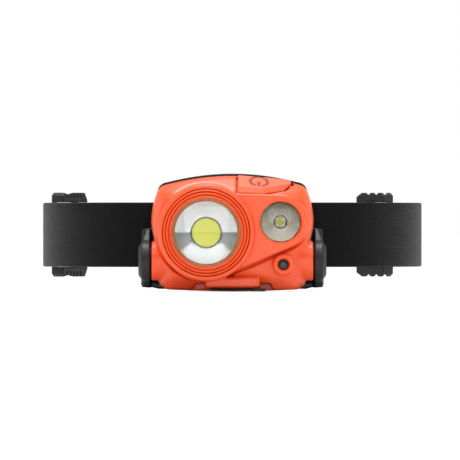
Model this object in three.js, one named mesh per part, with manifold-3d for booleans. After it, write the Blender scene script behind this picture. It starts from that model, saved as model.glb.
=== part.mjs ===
// Headlamp: a tilting lamp body with a flood and a spot light, held in a yoke on an elastic headband.
// Units are millimetres. The lamp faces -Y, +X is its left-hand side as worn and +Z is up.
// Every piece is drawn in the band frame: y is 0 on the tilt axis and z is 0 at the band's mid height.
// The whole group is then set down so that the origin is under the middle of its bounding box.
import * as THREE from "three";
import { mergeVertices } from "three/addons/utils/BufferGeometryUtils.js";
import Module from "manifold-3d";

const wasm = await Module();
wasm.setup();

// ---------------------------------------------------------------- driving dimensions
const BAND = { height: 30, thickness: 1.7, gap: 0.3 };
const LOOP = { radius: 88.3, centreY: 104.2, flatHalf: 36, frontY: 18.3 }; // centre line of the outer layer
const PIVOT_Z = -12.1;
const BARREL = { radius: 9, half: 37.4 };
const EAR = { inner: 38, outer: 42 };
const PARTING = { front: 0.8, rear: 1.4 }; // rear face of the front shell, front face of the rear shell
const WALL = 2;
const BODY = { halfWidth: 37.6, halfHeight: 27.1, middleZ: 0.9 };
const FLOOD = { x: -12.1, z: 1, lip: 22, bore: 20.8, lens: 15.8, aperture: 14.6 };
const SPOT = { x: 22.3, z: 5.9, rim: 12.5, aperture: 8.9 };
const SENSOR = { x: 23.6, z: -13.9, boss: 4.7, window: 2.3 };
const FACE = { plate: -17, lip: -20.5, body: -13.5 }; // y of the raised plate, the flood lip and the body
const CHIN = { x0: -11.8, x1: 13.6, top: -19.8, bottom: -24.8, front: -14.6, back: -1.5 };
const REAR_SWEEP = 14.05; // the rear shell stays inside this radius below the tilt axis
const YOKE = { front: 14.6, back: 17.1, barFront: 19.6, barBack: 22.2, halfHeight: 19.2 };
const SCREWS = [[-31, 16.5], [31, 18], [-31.3, -1.5], [31.3, -3]];
const POST_RADIUS = 2.6;
const PIN = { radius: 2.45, bore: 2.65, blindEnd: 28 };
const BUTTON = { x: 14.2, rearY: -1.1, rearZ: 26.75, pitch: 31, roll: 6 };
const BUTTON_PLAN = [[-11.6, 0], [-11.6, -13.6], [0.1, -13.2], [9.6, -8.5], [13.2, -2.6], [12.6, 0]];
const BUTTON_FIT = { thickness: 1.6, slot: 0.45, travel: 0.6, floor: 0.3 };
const RIDGES = { right: [-5.3, 0.5, 6.3], left: [-4.4, -2.2, 0, 2.2, 4.4] }; // grip notches, from the middle
const ADJUSTERS = [
  { side: "right", sign: 1, angle: 39.4, length: 20, notches: RIDGES.right, depth: 1.1, waist: 0.5 },
  { side: "left", sign: -1, angle: 28.2, length: 24, notches: RIDGES.left, depth: 0.7, waist: 1.1 },
];
const ADJUSTER = { half: 19.9, window: 15.35, inside: -4, outside: 2.5, bar: 1.8, forwardTravel: 4.6 };
const SPAN = 60; // half the size of the boxes that cut the whole lamp

// ---------------------------------------------------------------- solids
const COARSE = 24;
const FINE = 40;

function asSolid(geometry) {
  const bare = new THREE.BufferGeometry().setAttribute("position", geometry.getAttribute("position"));
  bare.setIndex(geometry.index);
  const merged = mergeVertices(bare, 1e-4);
  const corners = [];
  for (let i = 0; i < merged.index.count; i += 3) {
    const [a, b, c] = [0, 1, 2].map((k) => merged.index.getX(i + k));
    if (a !== b && b !== c && c !== a) corners.push(a, b, c);
  }
  const made = (triVerts) =>
    new wasm.Manifold(
      new wasm.Mesh({
        numProp: 3,
        vertProperties: merged.attributes.position.array,
        triVerts: new Uint32Array(triVerts),
      }),
    );
  const solid = made(corners);
  return solid.volume() < 0 ? made(corners.reverse()) : solid;
}

const union = (...solids) => solids.reduce((a, b) => a.add(b));

function box(x0, x1, y0, y1, z0, z1) {
  const geometry = new THREE.BoxGeometry(x1 - x0, y1 - y0, z1 - z0);
  return asSolid(geometry.translate((x0 + x1) / 2, (y0 + y1) / 2, (z0 + z1) / 2));
}

// A cylinder along Y between two depths, centred on (x, z).
function drumY(radius, y0, y1, x, z, segments = COARSE) {
  const geometry = new THREE.CylinderGeometry(radius, radius, y1 - y0, segments);
  return asSolid(geometry.translate(x, (y0 + y1) / 2, z));
}

// A cylinder along X between two stations, centred on (y, z).
function drumX(radius, x0, x1, y, z, segments = COARSE) {
  const geometry = new THREE.CylinderGeometry(radius, radius, x1 - x0, segments);
  return asSolid(geometry.rotateZ(Math.PI / 2).translate((x0 + x1) / 2, y, z));
}

// Turns a closed profile of [radius, y] points about the Y direction through (x, z).
function turnedY(profile, x, z, segments = FINE) {
  const points = [...profile, profile[0]].map(([r, y]) => new THREE.Vector2(r, y));
  return asSolid(new THREE.LatheGeometry(points, segments).translate(x, 0, z));
}

// Extrudes an outline in (x, z) between two depths.
function prismY(shape, y0, y1, curveSegments = 6) {
  const geometry = new THREE.ExtrudeGeometry(shape, { depth: y1 - y0, bevelEnabled: false, curveSegments });
  return asSolid(geometry.rotateX(Math.PI / 2).translate(0, y1, 0));
}

// Extrudes an outline in (x, y) between two heights.
function prismZ(shape, z0, z1, curveSegments = 6) {
  const geometry = new THREE.ExtrudeGeometry(shape, { depth: z1 - z0, bevelEnabled: false, curveSegments });
  return asSolid(geometry.translate(0, 0, z0));
}

// Extrudes an outline in (y, z) between two stations.
function prismX(shape, x0, x1, curveSegments = 6) {
  const geometry = new THREE.ExtrudeGeometry(shape, { depth: x1 - x0, bevelEnabled: false, curveSegments });
  geometry.applyMatrix4(new THREE.Matrix4().set(0, 0, 1, x0, 1, 0, 0, 0, 0, 1, 0, 0, 0, 0, 0, 1));
  return asSolid(geometry);
}

const polygon = (points) => new THREE.Shape(points.map(([a, b]) => new THREE.Vector2(a, b)));

// Joins sections of equal point count, from front to back, into a closed solid.
function loft(sections) {
  const count = sections[0].outline.length;
  const position = sections.flatMap(({ y, outline }) => outline.flatMap((p) => [p.x, y, p.y]));
  const index = [];
  for (let k = 0; k < sections.length - 1; k++) {
    for (let i = 0; i < count; i++) {
      const [a, b] = [k * count + i, k * count + ((i + 1) % count)];
      index.push(a, b + count, b, a, a + count, b + count);
    }
  }
  const last = (sections.length - 1) * count;
  for (const [a, b, c] of THREE.ShapeUtils.triangulateShape(sections[0].outline, [])) {
    index.push(a, b, c, last + a, last + c, last + b);
  }
  const geometry = new THREE.BufferGeometry();
  geometry.setAttribute("position", new THREE.Float32BufferAttribute(position, 3)).setIndex(index);
  return asSolid(geometry);
}

// ---------------------------------------------------------------- materials and the group
const looks = {
  orange: { color: 0xf0562b, roughness: 0.42 },
  black: { color: 0x1d1e1f, roughness: 0.6 },
  rubber: { color: 0x161718, roughness: 0.8 },
  webbing: { color: 0x1b1b1c, roughness: 0.9 },
  clear: { color: 0xeaf2f4, roughness: 0.05, transparent: true, opacity: 0.35 },
  dark: { color: 0x0d0e10, roughness: 0.1 },
  white: { color: 0xe8e8e6, roughness: 0.35 },
  chrome: { color: 0xb9bbb2, roughness: 0.15, metalness: 1 },
  phosphor: { color: 0xd9df55, roughness: 0.5 },
  aluminium: { color: 0xb4b7ba, roughness: 0.4, metalness: 1 },
  steel: { color: 0x8d9094, roughness: 0.3, metalness: 1 },
  board: { color: 0x14532f, roughness: 0.5 },
  foil: { color: 0x9aa0a6, roughness: 0.35, metalness: 0.8 },
};
const materials = Object.fromEntries(
  Object.entries(looks).map(([name, look]) => [name, new THREE.MeshStandardMaterial(look)]),
);
const headlamp = new THREE.Group();

function addPiece(name, solid, look) {
  const mesh = solid.getMesh();
  const geometry = new THREE.BufferGeometry();
  geometry.setAttribute("position", new THREE.BufferAttribute(mesh.vertProperties, 3));
  geometry.setIndex(new THREE.BufferAttribute(mesh.triVerts, 1)).computeVertexNormals();
  const piece = new THREE.Mesh(geometry, materials[look]);
  piece.name = name;
  headlamp.add(piece);
}

// ---------------------------------------------------------------- lamp body
// The body's outline seen from the front, drawn in by `inset`, and by `top` above the middle.
function bodyOutline(inset, top = inset) {
  const half = new THREE.Path();
  half.moveTo(0, -26.2);
  half.lineTo(16, -26.2);
  half.quadraticCurveTo(25, -26.1, 29.8, -25);
  half.quadraticCurveTo(32.9, -24.4, 33.8, -21.5);
  half.lineTo(36.3, -3.5);
  half.quadraticCurveTo(38, 3, 37.6, 7);
  half.quadraticCurveTo(37, 14.5, 34.6, 21.6);
  half.quadraticCurveTo(33.8, 23.7, 31.4, 24.4);
  half.quadraticCurveTo(16, 28, 0, 28);
  const right = half.getPoints(5);
  const left = right.slice(1, -1).reverse().map((p) => new THREE.Vector2(-p.x, p.y));
  const { halfWidth, halfHeight, middleZ } = BODY;
  const kx = 1 - inset / halfWidth;
  const kz = (p) => 1 - (p.y > middleZ ? top : inset) / halfHeight;
  return [...right, ...left].map((p) => new THREE.Vector2(p.x * kx, middleZ + (p.y - middleZ) * kz(p)));
}
const bodySections = (rows) => {
  return loft(rows.map(([y, inset, top]) => ({ y, outline: bodyOutline(inset, top) })));
};

// Everything above the tilt axis and behind it, and both ends' pivot bores.
const aboveAxis = box(-SPAN, SPAN, 0, 40, PIVOT_Z, SPAN);
const pivotBores = union(
  drumX(PIN.bore, -50, -PIN.blindEnd, 0, PIVOT_Z),
  drumX(PIN.bore, PIN.blindEnd, 50, 0, PIVOT_Z),
);

// The raised plate round both lights.
function facePlate() {
  const shape = new THREE.Shape();
  const { x, z, rim } = SPOT;
  shape.moveTo(FLOOD.x, z + rim);
  shape.lineTo(FLOOD.x, FLOOD.z - FLOOD.lip + 1);
  shape.lineTo(3, -16.2);
  shape.lineTo(x + rim * Math.sin(0.38), z - rim * Math.cos(0.38));
  shape.absarc(x, z, rim, 0.38 - Math.PI / 2, Math.PI / 2, false);
  return shape;
}

// Places a solid drawn on the button: x across, y towards the back from its rear edge, z out of its top face.
function onButton(solid) {
  const frame = new THREE.Object3D();
  frame.position.set(BUTTON.x, BUTTON.rearY, BUTTON.rearZ);
  const [pitch, roll] = [BUTTON.pitch, BUTTON.roll].map(THREE.MathUtils.degToRad);
  frame.rotation.set(pitch, roll, 0, "XYZ");
  frame.updateMatrix();
  return solid.transform(frame.matrix.elements);
}

// The button's plan, grown by a margin, between two heights.
function buttonBlock(margin, bottom, top) {
  const plan = new wasm.CrossSection([BUTTON_PLAN]).offset(margin, "Miter", 2);
  return onButton(plan.extrude(top - bottom).translate([0, 0, bottom]));
}

function frontShell() {
  const rear = PARTING.front;
  const outerRows = [[FACE.body, 5.6, 8.4], [-11.9, 3.2, 7.4], [-8.9, 1.4, 5.6], [-5, 0, 3.2], [rear, 0, 0]];
  const innerRows = [[FACE.body + WALL, 7.4, 13], [-9.5, 4.6, 10], [-6, 2.6, 7.8], [rear + 1, WALL, 4.2]];
  const [outer, cavity] = [outerRows, innerRows].map(bodySections);
  const cutRear = box(-SPAN, SPAN, rear, 40, -SPAN, SPAN);
  const chin = box(CHIN.x0, CHIN.x1, CHIN.front, CHIN.back, CHIN.bottom, CHIN.top);
  const face = union(
    prismY(facePlate(), FACE.plate, FACE.body + 3, 8),
    drumY(FLOOD.lip, FACE.lip, FACE.body + 5, FLOOD.x, FLOOD.z, FINE),
    drumY(SENSOR.boss, FACE.body - 1.6, 0, SENSOR.x, SENSOR.z),
    drumX(BARREL.radius, -BARREL.half, BARREL.half, 0, PIVOT_Z, FINE),
    chin,
  );
  // The barrel stays solid at its ends, where the pivot pins seat.
  const hollowHalf = PIN.blindEnd - WALL;
  const barrelRoom = drumX(BARREL.radius - WALL, -hollowHalf, hollowHalf, 0, PIVOT_Z);
  const faceRoom = cavity.intersect(box(-hollowHalf, hollowHalf, -40, 40, -SPAN, SPAN)).subtract(chin);
  const posts = SCREWS.map(([x, z]) => drumY(POST_RADIUS, -7.5, rear, x, z, 16));
  const pilots = SCREWS.map(([x, z]) => drumY(0.85, -4, rear + 1, x, z, 12));
  const portRecess = polygon([[-19.6, -27], [-16.6, -22.6], [16.8, -22.6], [19.8, -27]]);
  const recess = prismY(portRecess, -20, -3.2);
  const spotMouth = [[0, -25], [SPOT.aperture + 1, -25], [SPOT.aperture + 1, FACE.plate - 0.9],
    [SPOT.aperture, FACE.plate + 1], [0, FACE.plate + 1]];
  const cuts = union(
    drumY(FLOOD.bore, FACE.lip - 1, FACE.plate + 1.2, FLOOD.x, FLOOD.z, FINE),
    drumY(FLOOD.lens + 0.3, FACE.lip - 1, FACE.plate + 3, FLOOD.x, FLOOD.z, FINE),
    drumY(FLOOD.aperture + 0.3, FACE.lip - 1, 0, FLOOD.x, FLOOD.z, FINE),
    drumY(SPOT.aperture + 0.6, FACE.plate + 0.6, 0, SPOT.x, SPOT.z),
    turnedY(spotMouth, SPOT.x, SPOT.z, COARSE),
    drumY(SENSOR.window + 0.15, -20, -4, SENSOR.x, SENSOR.z, 20),
    pivotBores,
    box(-4.9, 5.9, -8.6, -4.4, -30, -17),
    buttonBlock(BUTTON_FIT.slot, -BUTTON_FIT.thickness - BUTTON_FIT.travel - BUTTON_FIT.floor, 6),
    onButton(box(-8, 3.2, -12, -3, -7, -2)),
    ...pilots,
  );
  const hollow = outer.subtract(cavity).subtract(recess);
  const bosses = union(...posts).intersect(outer);
  const shell = union(hollow, face.subtract(faceRoom), bosses);
  return shell.subtract(barrelRoom).subtract(cuts).subtract(cutRear);
}

function rearShell() {
  const front = PARTING.rear;
  const outer = bodySections([[front, -0.45], [6, 0], [9.5, 1.6], [11.5, 4]]);
  const cavity = bodySections([[front - 1, WALL], [6, WALL + 0.3], [9.6, WALL + 2.6]]);
  const sweep = union(drumX(REAR_SWEEP, -SPAN, SPAN, 0, PIVOT_Z, 64), aboveAxis);
  const barrel = drumX(BARREL.radius, -BARREL.half, BARREL.half, 0, PIVOT_Z, FINE);
  const innerSweep = union(drumX(REAR_SWEEP - WALL, -SPAN, SPAN, 0, PIVOT_Z, FINE), aboveAxis);
  const walls = outer.intersect(sweep).subtract(cavity.intersect(innerSweep));
  const bearingInner = PIN.blindEnd - 0.5;
  const bearing = barrel.subtract(box(-bearingInner, bearingInner, -40, 40, -SPAN, SPAN));
  const seats = SCREWS.map(([x, z]) => drumY(POST_RADIUS + 0.6, front, 9, x, z, 16));
  const holes = SCREWS.flatMap(([x, z]) => [drumY(1.2, 0, 20, x, z, 12), drumY(2.2, 7.2, 20, x, z, 16)]);
  return union(walls, bearing, union(...seats).intersect(outer))
    .subtract(pivotBores)
    .subtract(union(...holes))
    .subtract(box(-SPAN, SPAN, -40, front, -SPAN, SPAN));
}

// The seal follows the parting line and steps inboard round the blind end of each pivot pin.
function shellSeal() {
  const [y0, y1] = [PARTING.front + 0.1, PARTING.rear - 0.1];
  const inner = bodySections([[y0 - 1, 1.5], [y1 + 1, 1.5]]);
  const ring = bodySections([[y0, 0.3], [y1, 0.3]]).subtract(inner);
  const detour = box(27.4, 36.2, y0, y1, PIVOT_Z - 4.2, PIVOT_Z + 4.2);
  const pinRoom = box(28.6, 60, y0 - 1, y1 + 1, PIVOT_Z - 3, PIVOT_Z + 3);
  const bothSides = (solid) => union(solid, solid.mirror([1, 0, 0]));
  return union(ring, bothSides(detour)).subtract(bothSides(pinRoom));
}

// ---------------------------------------------------------------- lights
function floodBezel() {
  const { bore, aperture } = FLOOD;
  const outer = bore - 0.2;
  const front = FACE.lip - 1.2;
  // Steps across the face, as [distance in from the outside, depth behind the front].
  const steps = [[0, 0.8], [0.5, 0.2], [1.2, 0.2], [1.5, 0.9], [2.1, 0.9], [2.4, 0], [3.1, 0], [3.4, 0.7],
    [3.8, 0.7], [4, 0.2], [4.3, 0.3]];
  const face = steps.map(([inwards, depth]) => [outer - inwards, front + depth]);
  const seat = FLOOD.lens + 0.4;
  const wall = [[aperture, FACE.plate - 0.5], [aperture, FACE.plate], [seat, FACE.plate]];
  const back = [[seat, FACE.plate + 1], [outer, FACE.plate + 1]];
  return turnedY([...face, ...wall, ...back], FLOOD.x, FLOOD.z);
}

function floodReflector() {
  const cup = [[14.2, -15.2], [14.6, -14.8], [7.9, -10.5], [7.1, -10.5], [7.1, -11.2], [13.4, -15.2]];
  return turnedY(cup, FLOOD.x, FLOOD.z);
}

function heatSink() {
  return union(
    box(-25.5, 28.2, -6, -4, -2.5, 13),
    drumY(10.5, -8.7, -5, FLOOD.x, FLOOD.z, FINE),
    box(-22, -2.2, -6, -4, -9, 0),
  );
}

function spotReflector() {
  const stations = [0, 0.25, 0.5, 0.75, 1];
  const wall = (grow) => stations.map((t) => [2.9 + 5.7 * Math.sqrt(t) + grow, -7.9 - 7.3 * t]);
  return turnedY([...wall(0), ...wall(0.7).reverse()], SPOT.x, SPOT.z, COARSE);
}

function spotLed() {
  const dome = [0, 0.35, 0.7, 1.05, 1.4].map((a) => [1.9 * Math.cos(a), -8.1 - 1.5 * Math.sin(a)]);
  const lens = turnedY([[0, -7.9], [1.9, -7.9], ...dome, [0, -9.6]], SPOT.x, SPOT.z, 20);
  return union(lens, box(SPOT.x - 2, SPOT.x + 2, -8.1, -7.55, SPOT.z - 2, SPOT.z + 2));
}

function addLights() {
  addPiece("flood_bezel_ring", floodBezel(), "orange");
  const floodLens = drumY(FLOOD.lens, FACE.plate + 0.15, FACE.plate + 1.65, FLOOD.x, FLOOD.z, FINE);
  addPiece("flood_lens", floodLens, "clear");
  addPiece("flood_reflector", floodReflector(), "white");
  addPiece("flood_led_board", drumY(10, -10.2, -8.8, FLOOD.x, FLOOD.z, FINE), "aluminium");
  addPiece("flood_led_phosphor", drumY(6.8, -11.1, -10.3, FLOOD.x, FLOOD.z, FINE), "phosphor");
  addPiece("spot_lens", drumY(SPOT.aperture + 0.4, -15.9, -15.3, SPOT.x, SPOT.z), "clear");
  addPiece("spot_reflector", spotReflector(), "chrome");
  addPiece("spot_led", spotLed(), "phosphor");
  addPiece("spot_led_board", drumY(7, -7.5, -6.1, SPOT.x, SPOT.z), "aluminium");
  addPiece("heat_sink", heatSink(), "aluminium");
}

// ---------------------------------------------------------------- inside and controls
function chargeSocket() {
  const body = box(-4, 5, -8.2, -4.8, -24.4, -17.2);
  const mouth = box(-3.4, 4.4, -7.7, -5.3, -25, -18.2);
  const legs = box(-3, 4, -4.9, -1.8, -19.4, -17.2);
  return union(body.subtract(mouth), legs);
}

function tactSwitch() {
  const body = box(-3, 3, -10.8, -4.8, -8.5, -5);
  const plunger = box(-1.5, 1.5, -9.3, -6.3, -5.1, -3.9);
  const bracket = box(12.2, 16.2, -3.6, -1.9, 12, 17);
  return union(onButton(union(body, plunger)), bracket);
}

function sensorWindow() {
  const { x, z, window } = SENSOR;
  return turnedY([[0, -12.6], [window, -12.6], [window, -13.1], [1.5, -13.5], [0, -13.7]], x, z, 20);
}

function sensorModule() {
  const { x, z } = SENSOR;
  return union(drumY(2, -12.4, -9.4, x, z, 16), box(x - 1.2, x + 1.2, -9.5, -4.2, z - 1.2, z + 1.2));
}

function powerButton() {
  const stem = onButton(box(-7.4, 2.6, -11.4, -3.6, -3, -1));
  return union(buttonBlock(0, -BUTTON_FIT.thickness, 0), stem);
}

function addElectronics() {
  addPiece("main_board", box(-25.5, 25.5, -1.6, -0.2, -19.4, 15), "board");
  addPiece("battery_pack", box(-26, 26, 2.6, 8.6, -8, 21), "foil");
  addPiece("charge_socket", chargeSocket(), "steel");
  addPiece("tact_switch", tactSwitch(), "steel");
  addPiece("sensor_window", sensorWindow(), "dark");
  addPiece("sensor_module", sensorModule(), "board");
  addPiece("power_button", powerButton(), "orange");
}

// The rubber flap under the chin: a thin plate, a plug for the socket mouth, a pull tab and a hinge bead.
function portCover() {
  const top = CHIN.bottom - 0.15;
  const plate = box(-11, 13, -14.9, -3.6, top - 0.5, top);
  const plug = box(-2.6, 3.7, -7.3, -5.7, top - 0.1, top + 2.3);
  const tab = box(8.9, 15.4, -16.6, -9, -26.1, top);
  const hinge = drumY(0.5, -11.4, -3.6, -11.3, -25.55, 12);
  return union(plate, plug, tab, hinge);
}

function pivotPin(sign) {
  const [near, far] = [EAR.outer + 0.15, 43.45];
  const tip = PIN.blindEnd + 1;
  const head = [[0, far], [6.1, far], [7.4, far - 0.7], [7.4, near]];
  const shank = [[PIN.radius, near], [PIN.radius, tip], [0, tip]];
  const points = [...head, ...shank].map(([r, x]) => new THREE.Vector2(r, x));
  const geometry = new THREE.LatheGeometry([...points, points[0]], COARSE);
  geometry.rotateZ(-Math.PI / 2).translate(0, 0, PIVOT_Z);
  const pin = asSolid(geometry).subtract(box(42.9, 50, -4.4, 4.4, PIVOT_Z - 0.7, PIVOT_Z + 0.7));
  return sign > 0 ? pin : pin.mirror([1, 0, 0]);
}

function shellScrew(x, z) {
  const thread = [[0, -3], [0.75, -3], [0.75, 4], [1.05, 4.1], [1.05, 7.35]];
  const head = [[2, 7.35], [2, 8.4], [1.4, 8.9], [0, 8.9]];
  const across = box(x - 1.1, x + 1.1, 8.2, 10, z - 0.25, z + 0.25);
  const upright = box(x - 0.25, x + 0.25, 8.2, 10, z - 1.1, z + 1.1);
  return turnedY([...thread, ...head], x, z, 16).subtract(union(across, upright));
}

function addHead() {
  addPiece("front_shell", frontShell(), "orange");
  addPiece("rear_shell", rearShell(), "black");
  addPiece("shell_seal", shellSeal(), "rubber");
  addLights();
  addElectronics();
  addPiece("port_cover", portCover(), "rubber");
  for (const [name, sign] of [["left", -1], ["right", 1]]) {
    addPiece(`pivot_pin_${name}`, pivotPin(sign), "black");
    const [near, far] = [BARREL.half + 0.1, EAR.inner - 0.1];
    const ring = drumX(6.5, near, far, 0, PIVOT_Z).subtract(drumX(2.7, near - 1, far + 1, 0, PIVOT_Z));
    addPiece(`friction_washer_${name}`, sign > 0 ? ring : ring.mirror([1, 0, 0]), "rubber");
  }
  SCREWS.forEach(([x, z], i) => addPiece(`shell_screw_${i + 1}`, shellScrew(x, z), "steel"));
}

// ---------------------------------------------------------------- yoke
// One arm seen from the side: a round end at the tilt axis that widens to the back plate.
function earProfile() {
  const shape = new THREE.Shape();
  const back = YOKE.back;
  shape.moveTo(back, 2.4);
  shape.lineTo(10, 2.4);
  shape.quadraticCurveTo(6, 1.6, 3.1, PIVOT_Z + BARREL.radius - 0.3);
  shape.absarc(0, PIVOT_Z, BARREL.radius, 1.2, -1.2, false);
  shape.lineTo(9, -24);
  shape.lineTo(back, -24);
  return shape;
}

function yoke() {
  const { front, back, barFront, barBack, halfHeight } = YOKE;
  const plate = new THREE.Shape();
  const right = [[34.2, -25], [42, -22.9], [42, 2.4], [36, 3.4], [34, 16.5], [31.5, halfHeight]];
  const left = right.map(([x, z]) => [-x, z]).reverse();
  plate.setFromPoints([...right, ...left].map(([x, z]) => new THREE.Vector2(x, z)));
  const ear = prismX(earProfile(), EAR.inner, EAR.outer, 7).subtract(drumX(PIN.bore, 30, 50, 0, PIVOT_Z));
  const sides = [1, -1].map((sign) => {
    const bar = box(28.6, 32.6, barFront, barBack, -halfHeight, halfHeight);
    const feet = [[-halfHeight, -15.6], [15.6, halfHeight]].map(([z0, z1]) =>
      box(28.6, 32.6, back - 0.5, barFront + 0.2, z0, z1),
    );
    const side = union(ear, bar, ...feet);
    return sign > 0 ? side : side.mirror([1, 0, 0]);
  });
  const lip = polygon([[-34.2, -25], [34.2, -25], [30, -23], [-30, -23]]);
  return union(prismY(plate, front, back), prismY(lip, front - 1, back), ...sides);
}

// ---------------------------------------------------------------- headband
const onLoop = (radius, degrees) => {
  const angle = THREE.MathUtils.degToRad(degrees);
  return [radius * Math.cos(angle), LOOP.centreY + radius * Math.sin(angle)];
};

// The plan curve of a band layer on the +X side, from the yoke to an angle on the round back.
// It lies `inward` of the outer layer.
function layerLine(inward, fromX, toDegrees) {
  const radius = LOOP.radius - inward;
  const frontY = LOOP.frontY + inward;
  const [a, b] = [radius - LOOP.flatHalf, LOOP.centreY - frontY];
  const points = [[fromX, frontY]];
  for (let i = 0; i <= 14; i++) {
    const t = (i / 14) * (Math.PI / 2);
    points.push([LOOP.flatHalf + a * Math.sin(t), LOOP.centreY - b * Math.cos(t)]);
  }
  const steps = Math.ceil(toDegrees / 5);
  for (let i = 1; i <= steps; i++) points.push(onLoop(radius, (toDegrees * i) / steps));
  return points;
}

// The band is one length: round the back of the head, folded round each bar of the yoke and back along
// its own inner face.
function headband() {
  const { thickness: t, height, gap } = BAND;
  const tailInward = t + gap;
  // The tail stops short of its adjuster's furthest travel forward.
  const tail = ({ angle, length }) => {
    return angle - THREE.MathUtils.radToDeg((length / 2 + 7) / LOOP.radius) - ADJUSTER.forwardTravel;
  };
  const foldX = 28.6 - gap;
  const side = (sign, adjuster) => {
    const outer = layerLine(-t / 2, foldX - t, 90);
    const inner = layerLine(t / 2, foldX, 90);
    const tailInner = layerLine(tailInward + t / 2, 36, tail(adjuster));
    const tailOuter = layerLine(tailInward - t / 2, 36, tail(adjuster));
    const barBack = YOKE.barBack + gap;
    // Behind the bar the tail stands off by the bar's depth, then closes up to the outer layer.
    const fold = [[foldX - t, barBack + t], [36, barBack + t], [44, barBack + t + 0.4]];
    const foldInside = [[44, barBack + 0.4], [36, barBack], [foldX, barBack]];
    const run = (line) => line.filter(([x, y]) => x > 52 || y > 60);
    const tailTrace = [...run(tailInner), ...run(tailOuter).reverse()];
    const trace = [...outer.reverse(), ...fold, ...tailTrace, ...foldInside, ...inner];
    return trace.map(([x, y]) => [sign * x, y]);
  };
  const right = side(1, ADJUSTERS[0]);
  const left = side(-1, ADJUSTERS[1]).reverse();
  return prismZ(polygon([...right.slice(0, -1), ...left.slice(0, -1)]), -height / 2, height / 2);
}

// Maps a block drawn in (along, radial, z) about an adjuster's seat on the loop to its place.
function seat(solid, { sign, angle }) {
  const degrees = sign > 0 ? angle : 180 - angle;
  const [x, y] = onLoop(LOOP.radius, degrees);
  const turned = solid.rotate([0, 0, degrees - 90]);
  return turned.translate([x, y, 0]);
}

// A sliding adjuster: two rails with grip notches, two bars outside the band and one inside it.
function adjuster(spec) {
  const { half, window, inside, outside } = ADJUSTER;
  const end = spec.length / 2;
  const rear = spec.sign > 0 ? 1 : -1; // the chamfered end points to the back of the head
  const top = [[-end, half - 3], [-end + 2.4, half], [spec.notches[0] - 1.6, half]];
  spec.notches.forEach((at) => {
    const crest = half - spec.waist;
    top.push([at - 1, crest], [at, crest - spec.depth], [at + 1, crest]);
  });
  top.push([spec.notches.at(-1) + 1.8, half], [end - 0.8, half], [end, half - 1.2]);
  const mirrored = top.map(([a, z]) => [a, -z]).reverse();
  const outline = [...top, ...mirrored].map(([a, z]) => [-a * rear, z]);
  const opening = box(-end + 3, end - 3, -20, 20, -window, window);
  const passage = box(-40, 40, -20, 0.95, -window, window);
  const frame = prismY(polygon(outline), inside, outside).subtract(opening).subtract(passage);
  const bar = box(-ADJUSTER.bar, ADJUSTER.bar, inside, inside + 1.6, -window - 1, window + 1);
  return seat(union(frame, bar), spec);
}

// The sewn end of the band: wrapped round the adjuster's inner bar, with a tongue that lies along the loop.
function bandEnd(spec) {
  const { inside, bar } = ADJUSTER;
  const [tongueIn, tongueOut] = [-2.25, -1.15];
  const clear = 0.3;
  const ply = tongueOut - tongueIn;
  const tongue = new THREE.Shape();
  const reach = (spec.length / 2 + 6) / LOOP.radius;
  tongue.absarc(0, 0, LOOP.radius + tongueOut, Math.PI / 2 - reach, Math.PI / 2, false);
  tongue.absarc(0, 0, LOOP.radius + tongueIn, Math.PI / 2, Math.PI / 2 - reach, true);
  const strip = prismZ(tongue, -BAND.height / 2, BAND.height / 2, 6).translate([0, -LOOP.radius, 0]);
  const [side, low] = [bar + clear + ply, inside - clear - ply];
  const wrap = box(-side, side, low, tongueOut, -BAND.height / 2, BAND.height / 2);
  const eye = box(-bar - clear, bar + clear, inside - clear, inside + 1.6 + clear, -20, 20);
  const solid = union(wrap, strip).subtract(eye);
  return seat(spec.sign > 0 ? solid : solid.mirror([1, 0, 0]), spec);
}

function addStrap() {
  addPiece("yoke", yoke(), "black");
  addPiece("headband", headband(), "webbing");
  for (const spec of ADJUSTERS) {
    addPiece(`adjuster_${spec.side}`, adjuster(spec), "black");
    addPiece(`band_end_${spec.side}`, bandEnd(spec), "webbing");
  }
}

addHead();
addStrap();

// Set down: the origin goes under the middle of the bounding box.
const bounds = new THREE.Box3().setFromObject(headlamp);
const middle = bounds.getCenter(new THREE.Vector3());
headlamp.position.set(-middle.x, -middle.y, -bounds.min.z);

export default headlamp;
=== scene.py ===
"""Looks for the headlamp: moulded shells, lights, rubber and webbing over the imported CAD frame."""

import math

import bpy
import numpy as np
from mathutils import Matrix, Vector


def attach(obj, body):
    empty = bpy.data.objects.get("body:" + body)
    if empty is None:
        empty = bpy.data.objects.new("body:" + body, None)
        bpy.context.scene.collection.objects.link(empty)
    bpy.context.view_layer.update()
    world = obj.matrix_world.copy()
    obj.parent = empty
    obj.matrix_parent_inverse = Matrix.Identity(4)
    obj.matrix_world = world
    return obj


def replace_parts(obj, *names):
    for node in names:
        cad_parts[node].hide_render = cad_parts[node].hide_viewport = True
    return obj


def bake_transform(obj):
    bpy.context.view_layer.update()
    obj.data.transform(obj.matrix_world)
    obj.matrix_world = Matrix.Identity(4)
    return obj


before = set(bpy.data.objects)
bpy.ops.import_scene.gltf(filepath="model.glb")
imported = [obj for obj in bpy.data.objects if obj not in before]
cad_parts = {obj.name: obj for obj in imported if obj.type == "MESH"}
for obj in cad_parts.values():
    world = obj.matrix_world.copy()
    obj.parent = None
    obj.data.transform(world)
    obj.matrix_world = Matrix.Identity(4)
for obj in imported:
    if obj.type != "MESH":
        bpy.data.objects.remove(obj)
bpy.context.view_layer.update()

# Sizes are in millimetres in the band frame: y = 0 on the tilt axis, z = 0 at the band's mid height.
SHIFT = np.array([0.0, -85.825, 26.2])
PIVOT_Z = -12.1
FLOOD = (-12.1, 1.0)
SPOT = (22.3, 5.9)
SENSOR = (23.6, -13.8)
LOOP = {"radius": 88.3, "centre": 104.2, "flat": 36.0, "front": 18.3}
BAND_HEIGHT = 30.0
BAND_THICK = 1.6
TAIL_THICK = 1.35
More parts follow.
